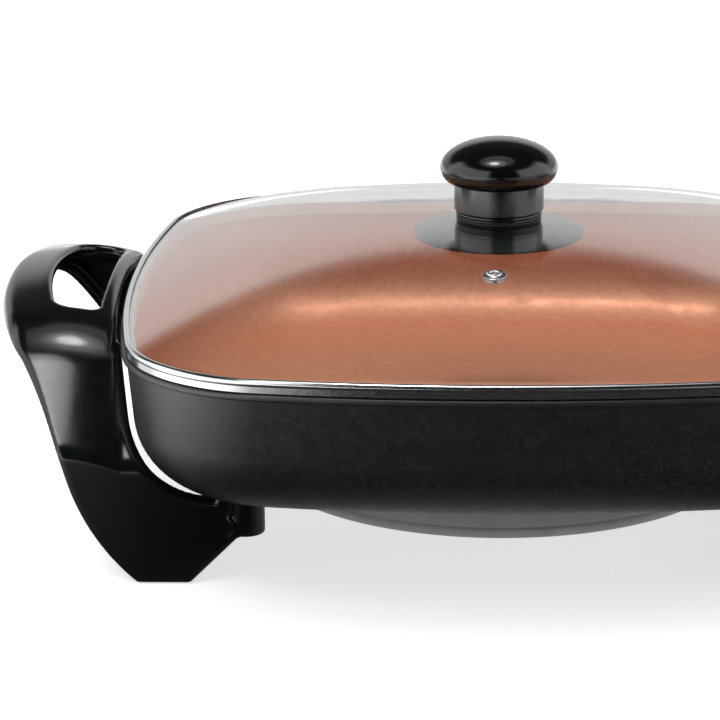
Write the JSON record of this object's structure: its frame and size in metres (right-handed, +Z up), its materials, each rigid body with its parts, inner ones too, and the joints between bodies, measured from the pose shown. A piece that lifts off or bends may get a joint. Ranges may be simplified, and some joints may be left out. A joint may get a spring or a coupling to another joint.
{
  "type": "electric skillet",
  "caption": "Square electric skillet with a shallow bowed pan, handles that run down into legs, a domed glass lift-off lid with a knob, and a plug-in heat control.",
  "frame": {"origin": "on the table, under the middle of the pan", "axes": "+Z up, +X towards the heat control and along the line through both handles, -Y towards the front"},
  "size_m": [0.401, 0.3014, 0.1556],
  "materials": {
    "pan_black": "satin black outside, copper-coloured non-stick coating inside",
    "cover_steel": "satin",
    "element_steel": "dull, heat-stained",
    "clip_steel": "satin",
    "ceramic": "unglazed",
    "contact_brass": "bright",
    "pin_steel": "bright",
    "handle_plastic": "satin gloss, black",
    "lid_glass": "clear, polished",
    "rim_steel": "polished stainless steel",
    "knob_plastic": "glossy black",
    "seal_rubber": "matte black",
    "plate_black": "satin black",
    "screw_steel": "satin",
    "control_plastic": "fine-grained black",
    "carrier_plastic": "brown moulded phenolic",
    "guard_steel": "satin black",
    "lamp_glass": "clear orange",
    "lens_red": "translucent red",
    "dial_plastic": "satin gloss, black"
  },
  "bodies": {
    "skillet": {"pan": "pan_black", "bottom_cover": "cover_steel", "heating_element": "element_steel", "element_clips": "clip_steel", "terminal_insulators": "ceramic", "terminal_pins": "pin_steel", "socket_guard": "guard_steel", "probe_sleeve": "clip_steel", "cover_stud": "screw_steel", "cover_nut": "screw_steel", "handle_left": "handle_plastic", "handle_right": "handle_plastic", "handle_screws": "screw_steel"},
    "lid": {"lid_glass": "lid_glass", "lid_rim": "rim_steel", "vent_eyelet": "rim_steel", "knob_cap": "knob_plastic", "knob_neck": "knob_plastic", "knob_seat_ring": "seal_rubber", "knob_plate": "plate_black", "knob_screw": "screw_steel"},
    "heat_control": {"control_lower_housing": "control_plastic", "control_upper_housing": "control_plastic", "control_screws": "screw_steel", "probe_rod": "pin_steel", "contact_carrier": "carrier_plastic", "contact_sleeves": "contact_brass", "thermostat": "contact_brass", "indicator_lamp": "lamp_glass", "indicator_lens": "lens_red", "cord_gland": "seal_rubber"},
    "dial": {"control_dial": "dial_plastic", "dial_shaft": "contact_brass"}
  },
  "joints": [
    {"name": "lid_lift", "type": "slide", "parent": "skillet", "child": "lid", "axis": [0, 0, 1], "range_m": [0, 0.12]},
    {"name": "control_unplug", "type": "slide", "parent": "skillet", "child": "heat_control", "axis": [1, 0, 0], "range_m": [0, 0.07]},
    {"name": "dial_turn", "type": "hinge", "parent": "heat_control", "child": "dial", "pos_m": [0.177, 0, 0.054], "axis": [0, 0, 1], "range_deg": [-280, 0]}
  ]
}
